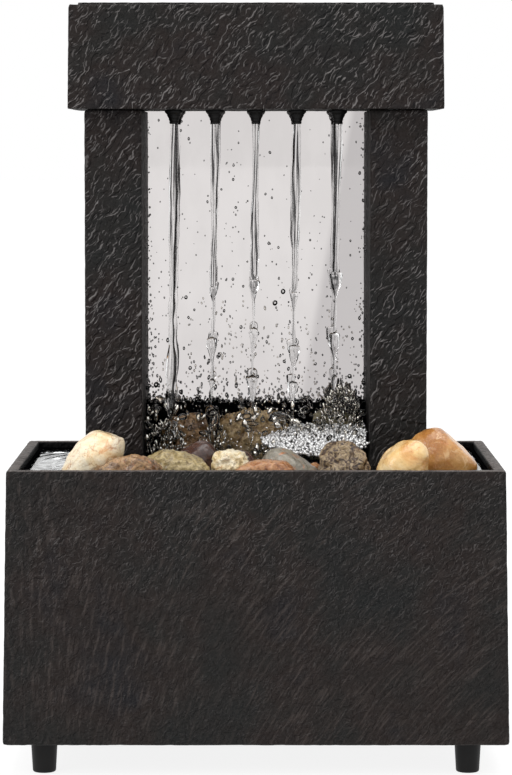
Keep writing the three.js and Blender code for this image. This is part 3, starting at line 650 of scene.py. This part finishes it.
# Each pebble: colours, pattern size per metre, roundness lost to lobes and to crags in mm, how far it
# leans to the right, how full its corners are (2 is an ellipsoid), flats worn on it as (x, y, z,
# distance from its middle in mm), and its surface.
PEBBLE_LOOKS = {
    "pebble_cream": (CREAM, 75, 0.9, 0.0, 0.3, 2.0, [(0.3, 0, 0.95, 12.6)],
                     {"rough": 0.3, "stain": rgb(206, 140, 84), "veins": rgb(150, 92, 54),
                      "speckle": 0.12}),
    "pebble_honey": (HONEY, 60, 0.8, 0.0, 0.16, 2.0, [(-0.62, -0.2, 0.76, 9.6)],
                     {"rough": 0.22, "stain": rgb(196, 118, 52), "veins": rgb(168, 96, 44),
                      "speckle": 0.1}),
    "pebble_amber": (AMBER, 45, 0.6, 0.0, -0.1, 2.0, [(0.7, -0.1, 0.71, 9.6)],
                     {"rough": 0.22, "stain": rgb(184, 112, 52), "veins": rgb(236, 200, 150),
                      "speckle": 0.14}),
    "pebble_mottled": (MOTTLE, 260, 1.3, 1.9, 0.0, 2.4, [(0.75, 0, 0.66, 9.2)],
                       {"rough": 0.4, "swirl": 1.8, "pits": 1.0, "bump": 0.0012, "speckle": 0.5}),
    "pebble_russet": (RUSSET, 120, 0.8, 0.5, 0.0, 3.4, [(-0.5, 0, 0.87, 8.6)],
                      {"rough": 0.3, "pits": 0.8, "speckle": 0.45, "stain": rgb(112, 60, 32)}),
    "pebble_grey": (GREY, 90, 0.8, 0.3, -0.25, 2.3, [(0.5, -0.2, 0.84, 6.6)],
                    {"rough": 0.3, "stain": rgb(182, 112, 62), "speckle": 0.4}),
    "pebble_shell": (SHELL, 150, 1.2, 1.9, 0.0, 3.0, [],
                     {"rough": 0.34, "pits": 1.0, "bump": 0.001, "stain": rgb(176, 122, 62)}),
    "pebble_plum": (PLUM, 90, 0.7, 0.3, 0.1, 2.3, [(-0.55, -0.2, 0.81, 6.6)],
                    {"rough": 0.16, "speckle": 0.3, "veins": rgb(120, 84, 66)}),
    "pebble_olive": (OLIVE, 150, 0.8, 0.9, 0.0, 2.8, [(0.35, -0.2, 0.9, 8.4), (-0.5, 0, 0.86, 10.6)],
                     {"rough": 0.34, "pits": 0.9, "speckle": 0.5, "stain": rgb(86, 66, 40)}),
    "pebble_brown": (BROWN, 170, 0.9, 0.9, 0.1, 3.2, [(-0.4, 0, 0.92, 8.6), (0.45, 0, 0.89, 9.6)],
                     {"rough": 0.3, "pits": 0.9, "speckle": 0.6, "stain": rgb(178, 104, 58)}),
    "pebble_ember": (RUSSET, 160, 1.3, 0.6, 0.0, 2.0, [(0, 0, 1, 2.6)], {"rough": 0.25, "speckle": 0.3}),
    "pebble_wet": (PLUM, 130, 0.8, 0.5, 0.0, 2.0, [], {"rough": 0.12}),
    "pebble_tan": (TAN, 150, 1.2, 1.5, 0.0, 3.2, [(-0.35, -0.3, 0.88, 17.5), (0.55, 0, 0.83, 17.5)],
                   {"rough": 0.18, "pits": 1.0, "bump": 0.0012, "speckle": 0.5, "stain": rgb(92, 66, 36)}),
    "pebble_bark": (BROWN, 170, 1.2, 1.5, 0.0, 3.0, [(0.4, -0.3, 0.86, 16.5)],
                    {"rough": 0.14, "pits": 1.0, "bump": 0.0012, "speckle": 0.6,
                     "stain": rgb(120, 88, 52)}),
    "pebble_moss": (MOSS, 150, 1.3, 1.5, 0.0, 3.0, [(-0.3, -0.3, 0.9, 17.5)],
                    {"rough": 0.14, "pits": 1.0, "bump": 0.0012, "speckle": 0.5,
                     "stain": rgb(150, 126, 84)}),
}


def make_pebble(node, index):
    """A natural stone from the CAD pebble: filled out, leaned, worn flat in places, lobed and cragged."""
    colors, per_metre, lobed, cragged, lean, full, flats, options = PEBBLE_LOOKS[node]
    obj = new_object(node + "_stone", frame["nodes"][node].data.copy())
    remesh = obj.modifiers.new("remesh", "REMESH")
    remesh.mode = "VOXEL"
    remesh.voxel_size = 0.6 * MM
    smooth = obj.modifiers.new("smooth", "SMOOTH")
    smooth.iterations = 18
    applied(obj)
    mesh = obj.data
    co = points_of(mesh) / MM
    lo, hi = co.min(0), co.max(0)
    centre = (lo + hi) / 2
    out = (co - centre) / (hi - lo) * 2
    fill = np.linalg.norm(out, axis=1) / (np.abs(out) ** full).sum(1) ** (1 / full)
    co = np.clip(centre + (co - centre) * fill[:, None], lo, hi)
    co[:, 0] += lean * (co[:, 2] - centre[2])
    for *direction, distance in flats:
        out = np.array(direction) / np.linalg.norm(direction)
        over = (co - centre) @ out - distance
        soft = np.where(np.abs(over) < 2.5, (over + 2.5) ** 2 / 10, np.maximum(over, 0))
        co = co - np.outer(soft, out) * 0.85
    set_points(mesh, co * MM)
    no = normals_of(mesh)
    size = (hi - lo).mean()
    lobes = fractal((co - centre) / (size * 0.4), 2, 5 * index + 1)
    crags = np.abs(fractal(co / 4.2, 3, 5 * index + 3)) * 2.2 - 0.5
    fine = fractal(co / 2.0, 2, 5 * index + 2)
    depth = lobed * (0.3 - 1.2 * lobes) + cragged * crags + (0.1 + 0.15 * cragged) * fine
    co = co - no * np.clip(depth, -0.9, 2.6)[:, None]
    # The foot stays on the deck.
    co[:, 2] = np.maximum(co[:, 2], lo[2])
    set_points(mesh, co * MM)
    mesh.polygons.foreach_set("use_smooth", [True] * len(mesh.polygons))
    mesh.materials.clear()
    mesh.materials.append(stone_material(node + "_face", colors, per_metre, seed=index, **options))
    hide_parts(node)
    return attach(obj, BODY_OF[node])


for index, node_name in enumerate(sorted(PEBBLES)):
    make_pebble(node_name, index)


# ---- water -------------------------------------------------------------------------------------

def blobs(name, items, material, rings=6, sides=9, wobble=0.12, seed=0):
    """Many small drops as one mesh. Each item is (middle, (radius across, along), direction), in mm."""
    template, faces = [(0.0, 0.0, 1.0)], []
    for i in range(1, rings):
        a = math.pi * i / rings
        template += [(math.sin(a) * math.cos(2 * math.pi * (j + i / 2) / sides),
                      math.sin(a) * math.sin(2 * math.pi * (j + i / 2) / sides), math.cos(a))
                     for j in range(sides)]
    template.append((0.0, 0.0, -1.0))
    last = len(template) - 1
    for j in range(sides):
        k = (j + 1) % sides
        faces += [(0, 1 + j, 1 + k), (last, last - sides + k, last - sides + j)]
        for i in range(rings - 2):
            a, b = 1 + i * sides, 1 + (i + 1) * sides
            faces += [(a + j, b + j, b + k), (a + j, b + k, a + k)]
    template, faces = np.array(template), np.array(faces)
    rng = np.random.default_rng(seed)
    middles = np.array([item[0] for item in items], float)
    radii = np.array([(item[1][0], item[1][0], item[1][1]) for item in items], float)
    up = np.array([item[2] for item in items], float)
    up /= np.linalg.norm(up, axis=1)[:, None]
    helper = np.where(np.abs(up[:, 2:]) > 0.9, [[1.0, 0, 0]], [[0, 0, 1.0]])
    right = np.cross(helper, up)
    right /= np.linalg.norm(right, axis=1)[:, None]
    turn = np.stack([right, np.cross(up, right), up], 1)
    phase = rng.uniform(0, 6.28, (len(items), 1))
    bend = rng.normal(0, 1.6, (len(items), 3))
    swell = 1 + wobble * np.sin(template @ bend.T + phase.T).T
    local = template[None] * radii[:, None] * swell[:, :, None]
    verts = (np.einsum("nvi,nij->nvj", local, turn) + middles[:, None]).reshape(-1, 3)
    faces = (faces[None] + (np.arange(len(items)) * len(template))[:, None, None]).reshape(-1, 3)
    mesh = mesh_from(name, verts * MM, faces.tolist())
    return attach(new_object(name, mesh, material), ROOT)


# Each stream: the height its smooth part ends at, swellings on it as (height, half length, extra
# radius), and the heads it breaks into below, as (top, bottom, radius), all in mm above the table.
STREAMS = [
    (133, [(176.8, 3.5, 0.55), (153, 5.0, 0.75), (139, 4.0, 0.5)], [(131, 117, 2.6)]),
    (184, [], [(184.5, 176, 1.75), (164, 151, 2.1), (147.5, 140, 1.2), (137, 117, 2.3)]),
    (187, [], [(187, 175.5, 2.0), (168, 153, 1.9), (149, 134, 2.2), (130, 118, 1.5)]),
    (181, [], [(182, 172, 1.7), (161, 149, 2.3), (146.5, 135, 2.0), (132, 122, 1.5)]),
    (189, [], [(190, 177, 2.5), (166, 151, 2.4), (149, 139, 1.4), (137, 124, 2.6)]),
]


def stream(index, smooth_end, swellings, heads):
    """A falling stream of water: smooth and slightly twisted above, then heads joined by thin threads."""
    lo, hi = NOZZLES[index]
    centre = (lo + hi) / 2
    top, foot = lo[2] + 1.2, 114.0
    phase = index * 1.9
    heights = np.linspace(top, foot, 460)
    fall = (top - heights) / 130
    radius = 1.52 - 0.42 * fall + 0.17 * np.sin(fall * 9.5 + phase) + 0.07 * np.sin(heights / 2.9 + phase)
    radius *= 1 + 0.12 * np.clip(fall * 1.6, 0, 1) * np.sin(heights / 1.45 + phase)
    thread = 0.34 + 0.2 * np.clip(np.sin(heights / 3.1 + 2 * phase), 0, 1)
    radius = thread + (radius - thread) / (1 + np.exp((smooth_end - heights) / 0.7))
    for at, length, extra in swellings:
        radius += extra * np.exp(-((heights - at) / length) ** 2)
    flare = np.zeros_like(heights)
    for k, (high, low, r) in enumerate(heads):
        t = (high - heights) / (high - low)
        inside = (t > 0) & (t < 1)
        t = np.clip(t, 0, 1)
        shape = np.sin(np.pi * np.clip(t * 1.15, 0, 1) ** 0.42) ** 0.8 * (1 - 0.45 * t)
        shape *= 1 + 0.06 * np.sin(t * 15 + k + phase)
        radius = np.where(inside, np.maximum(radius, r * shape), radius)
        flare = np.where(inside, 0.1 * (1 - t), flare)
    radius[0] = radius[-1] = 0
    drift = np.clip(fall, 0, 1.2)
    mid_x = centre[0] - 1.9 * drift ** 1.2 + 0.22 * np.sin(heights * 0.21 + phase) * drift
    mid_y = centre[1] + 0.5 * drift + 0.15 * np.cos(heights * 0.17 + phase) * drift
    sides = 28
    around = np.linspace(0, 2 * np.pi, sides, endpoint=False)
    twist = heights * 0.045 + phase
    squash = 1 + 0.14 * np.cos(2 * (around[None] - twist[:, None]))
    squash += flare[:, None] * np.sin(5 * around[None] + phase + heights[:, None] * 0.3)
    ring = radius[:, None] * squash
    verts = np.stack([mid_x[:, None] + ring * np.cos(around), mid_y[:, None] + ring * np.sin(around),
                      np.repeat(heights[:, None], sides, 1)], 2)[1:-1].reshape(-1, 3)
    caps = [(mid_x[0], mid_y[0], heights[0]), (mid_x[-1], mid_y[-1], heights[-1])]
    rows = len(heights) - 2
    faces = []
    for i in range(rows - 1):
        for j in range(sides):
            k = (j + 1) % sides
            faces.append((i * sides + j, i * sides + k, (i + 1) * sides + k, (i + 1) * sides + j)[::-1])
    first, last = rows * sides, rows * sides + 1
    for j in range(sides):
        k = (j + 1) % sides
        faces.append((first, j, k))
        faces.append((last, (rows - 1) * sides + k, (rows - 1) * sides + j))
    mesh = mesh_from(f"stream_{index + 1}", np.vstack([verts, caps]) * MM, faces)
    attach(new_object(f"stream_{index + 1}", mesh, WATER_STREAM), ROOT)


for index, (smooth_end, swellings, heads) in enumerate(STREAMS):
    stream(index, smooth_end, swellings, heads)


def pool():
    """The water in the basin: rippled, heaped and broken under the streams, with a flat underside."""
    half_x, half_y = TUB_HI[0] - 1.52, TUB_HI[1] - 1.52
    step = 0.85
    nx, ny = int(2 * half_x / step), int(2 * half_y / step)
    gx, gy = np.meshgrid(np.linspace(-half_x, half_x, nx), np.linspace(-half_y, half_y, ny))
    flat = np.stack([gx.ravel(), gy.ravel(), np.zeros(gx.size)], 1)

    def rough(size, octaves, seed):
        return fractal(flat / size, octaves, seed).reshape(gx.shape)

    # The heap lies between the columns, in front of the ledge.
    inside = np.clip((RIGHT_LO[0] - 1.2 - np.abs(gx)) / 4, 0, 1) * np.clip((LEDGE_LO[1] - 1 - gy) / 3, 0, 1)
    inside *= np.clip((gy + 16) / 9, 0, 1)
    z = WATER + inside * (3.4 + 3.0 * rough(9, 2, 61) + 1.6 * np.abs(rough(3.6, 2, 77)))
    for i, (lo, hi) in enumerate(NOZZLES):
        c = (lo + hi) / 2
        d = np.hypot(gx - c[0] + 2, gy - c[1] - 0.5)
        z += 0.9 * np.exp(-d / 22) * np.sin(d * 1.05 - i * 1.3)
    z += 0.13 * rough(7, 2, 5)
    top = np.stack([gx.ravel(), gy.ravel(), z.ravel()], 1)
    bottom = top.copy()
    bottom[:, 2] = WATER - 10.3
    n = nx * ny
    i, j = np.meshgrid(np.arange(nx - 1), np.arange(ny - 1))
    a = (j * nx + i).ravel()
    faces = np.stack([a, a + 1, a + nx + 1, a + nx], 1)
    faces = np.vstack([faces, n + faces[:, ::-1]]).tolist()
    rim = list(range(nx)) + [j * nx + nx - 1 for j in range(1, ny)]
    rim += [(ny - 1) * nx + i for i in range(nx - 2, -1, -1)] + [j * nx for j in range(ny - 2, 0, -1)]
    faces += [[a, n + a, n + b, b] for a, b in zip(rim, rim[1:] + rim[:1])]
    mesh = mesh_from("pool", np.vstack([top, bottom]) * MM, faces)
    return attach(new_object("pool", mesh, WATER_POOL), ROOT)


pool()


def mirror_drops():
    """Drops that cling to the mirror, small and dense near its foot, and along its side edges."""
    rng = random.Random(7)
    items = []
    y = MIRROR_LO[1]
    x0, x1 = LEFT_HI[0] + 0.6, RIGHT_LO[0] - 0.6
    z0, z1 = LEDGE_HI[2] + 0.4, HEADER_LO[2] - 3
    for k in range(1250):
        x, z = rng.uniform(x0, x1), z0 + (z1 - z0) * rng.random() ** 4.2
        if k % 5 == 0:
            side = rng.choice((-1, 1))
            x = (x1 if side > 0 else x0) - side * abs(rng.gauss(0, 1.1))
            z = z0 + (z1 - z0) * rng.random() ** 1.5
        low = max(0.0, 1 - (z - z0) / 45)
        r = 0.14 + 0.16 * rng.random() + 0.35 * rng.random() ** 5 + 0.1 * low
        items.append(((x, y - 0.1 * r, z), (r, r * rng.uniform(1.0, 1.5 + 0.8 * low)),
                      (rng.gauss(0, 0.12), 0, 1)))
    big = [(10.9, 181.4, 1.05), (7.7, 176.6, 1.0), (-28.2, 179, 0.75), (-6, 166.9, 0.7), (-9.3, 186.2, 0.6),
           (-26.6, 150.4, 0.7), (4.8, 162.9, 0.5), (-40.3, 143.5, 1.1), (-30.2, 246, 0.5), (-1, 247, 0.45),
           (16.9, 186, 0.45), (37.8, 147, 0.9), (24, 152, 0.6), (-14, 172, 0.5)]
    items += [((x, y - 0.2, z), (r, r * 1.12), (0.2, 0, 1)) for x, z, r in big]
    return blobs("mirror_drops", items, WATER_DROP, 6, 10, 0.1, 7)


mirror_drops()


def splashes():
    """Spray, beads and a crown of water where the streams land on the wet stones."""
    rng = random.Random(19)
    clear, white = [], []
    edge = RIGHT_LO[0] - 1.4
    back = LEDGE_LO[1] - 1.0

    def add(x, y, z, r, long, direction, share):
        if abs(x) < edge and y < back:
            (white if rng.random() < share else clear).append(((x, y, z), (r, r * long), direction))

    for _ in range(520):  # a low turmoil over the whole width
        x, y, high = rng.uniform(-edge, edge), rng.uniform(-9, back), rng.random() ** 1.2
        add(x, y, 115 + 23 * high, 0.3 + 1.1 * rng.random() ** 3, rng.uniform(1.0, 1.9),
            (rng.gauss(0, 0.8), rng.gauss(0, 0.4), 1), 0.45)
    for _ in range(200):  # single drops thrown higher
        add(rng.uniform(-edge, edge), rng.uniform(-6, back), 133 + 45 * rng.random() ** 2.4,
            rng.uniform(0.16, 0.42), rng.uniform(1.0, 1.8), (rng.gauss(0, 0.3), 0, 1), 0.0)
    for x, y, base, wide, tall, count in [(34, 5, 119, 9.5, 25, 480), (-36, 3, 115, 8, 15, 260),
                                          (-16, 2, 115, 6, 14, 110), (14, 3, 118, 6, 14, 110)]:
        for _ in range(count):  # a crown: threads that run up and out over a dome
            a, t = rng.uniform(0, 2 * math.pi), math.acos(rng.random()) * rng.uniform(0.85, 1.0)
            out = (math.sin(t) * math.cos(a), math.sin(t) * math.sin(a))
            add(x + wide * out[0], y + 0.8 * wide * out[1], base + tall * math.cos(t),
                rng.uniform(0.2, 0.5), rng.uniform(1.4, 3.4),
                (math.cos(t) * out[0] + rng.gauss(0, 0.15), math.cos(t) * out[1], 0.4 + math.sin(t)), 0.5)
    # Wide lens-like drops in front of the rear stones, as (x, z, half width, half height), and the swollen
    # foot of the second stream.
    for x, z, across, high in [(-39.6, 136, 1.9, 1.4), (-29.3, 132.4, 1.9, 1.2), (-4.4, 132.8, 2.4, 1.5),
                               (8.7, 132.4, 4.2, 1.9), (-2.4, 130.0, 3.0, 1.0), (19.4, 135.2, 1.6, 1.5),
                               (24.6, 130.4, 1.8, 1.2), (20.4, 128.6, 1.6, 1.0), (42.0, 134.4, 1.7, 1.3),
                               (-35, 124.5, 2.2, 1.3), (31, 137, 2.0, 1.5), (-20.5, 126, 2.0, 1.3)]:
        clear.append(((x, 1.5, z), (high, across), (1, 0, 0.15 * math.sin(x))))
    clear += [((-16.6, 1.0, 127.5), (2.1, 8.0), (0.1, 0, 1)),
              ((-17.4, 0.6, 134.6), (2.6, 1.6), (0, -0.3, 1))]
    blobs("splash_drops", clear, WATER_SPLASH, 8, 12, 0.2, 19)
    blobs("splash_spray", white, WATER_SPRAY, 6, 8, 0.25, 20)


splashes()


def froth():
    """Banks of small bubbles: a broad one right of the middle, and thin ones by a column and a wall."""
    rng = random.Random(23)
    items = []

    def bubble(x, y, z):
        r = rng.uniform(0.38, 0.8)
        items.append(((x, y, z), (r, r), (0, 0, 1)))

    for _ in range(1700):
        u, v = rng.random(), rng.random()
        low, high = 123.5 - 5.0 * math.sin(math.pi * u) ** 0.8, 124 + 5 * min(1.0, u / 0.35)
        x = 3.5 + 39.5 * u + rng.gauss(0, 0.9)
        y = -13 + 19 * v + 1.6 * math.sin(u * 19) + rng.gauss(0, 0.7)
        bubble(x, y, low + (high - low) * v + rng.uniform(-0.5, 0.5))
    for x, y, w, d, count in [(-39, -4, 5, 9, 160), (81, 2, 5, 20, 60)]:
        for _ in range(count):
            a, q = rng.uniform(0, 2 * math.pi), rng.random() ** 0.6
            z = WATER + 0.4 + 1.2 * (1 - q) * rng.random()
            bubble(x + w * q * math.cos(a), y + d * q * math.sin(a), z)
    return blobs("froth", items, FOAM, 6, 9, 0.05, 23)


froth()


# ---- floor, light and camera -------------------------------------------------------------------

def floor():
    s = Shader("pale_floor")
    tone = s.noise(3, 3)
    color = s.mix(s.span(tone, 0.3, 0.7), rgba(124, 124, 124), rgba(128, 128, 128))
    s.finish(Base_Color=color, Roughness=0.6, Specular_IOR_Level=0.0, Emission_Strength=0.86,
             Emission_Color=(1, 1, 1, 1))
    reach = 30.0
    corners = [(-reach, -reach, 0), (reach, -reach, 0), (reach, reach, 0), (-reach, reach, 0)]
    mesh = mesh_from("floor", corners, [[0, 1, 2, 3]])
    new_object("floor", mesh, s.material)


def soft_light(name, place, target, size, watts):
    data = bpy.data.lights.new(name, "AREA")
    data.shape = "RECTANGLE"
    data.size, data.size_y = size
    data.energy = watts
    obj = bpy.data.objects.new(name, data)
    bpy.context.scene.collection.objects.link(obj)
    obj.location = place
    obj.rotation_euler = (Vector(target) - Vector(place)).to_track_quat("-Z", "Y").to_euler()


floor()
world = bpy.data.worlds.new("studio")
bpy.context.scene.world = world
world.use_nodes = True
background = world.node_tree.nodes["Background"]
background.inputs["Color"].default_value = (1, 1, 1, 1)
background.inputs["Strength"].default_value = 1.0
soft_light("top_softbox", (0.1, 0.0, 1.3), (0, 0, 0.1), (1.2, 1.0), 9)
soft_light("left_softbox", (-1.0, -0.9, 0.9), (0, 0, 0.15), (0.5, 0.8), 6)

scene = bpy.context.scene
scene.view_settings.view_transform = "Standard"

SENSOR_MM = 36
LENS_MM = 224.367
PITCH = math.radians(4.39939)
RIM_BEHIND_FOOT = 0.0018  # how far the basin's front leans back, in metres
EYE_AWAY = 1.2
EYE_OVER_RIM = 0.124
EYE = Vector((0.0, SHELL_LO[1] * MM + RIM_BEHIND_FOOT - EYE_AWAY, RIM * MM + EYE_OVER_RIM))
camera_data = bpy.data.cameras.new("camera")
camera_data.sensor_fit = "HORIZONTAL"
camera_data.sensor_width = SENSOR_MM
camera_data.lens = LENS_MM
camera_data.clip_end = 20
camera = bpy.data.objects.new("camera", camera_data)
scene.collection.objects.link(camera)
camera.location = EYE
camera.rotation_euler = (math.pi / 2 - PITCH, 0, 0)
scene.camera = camera
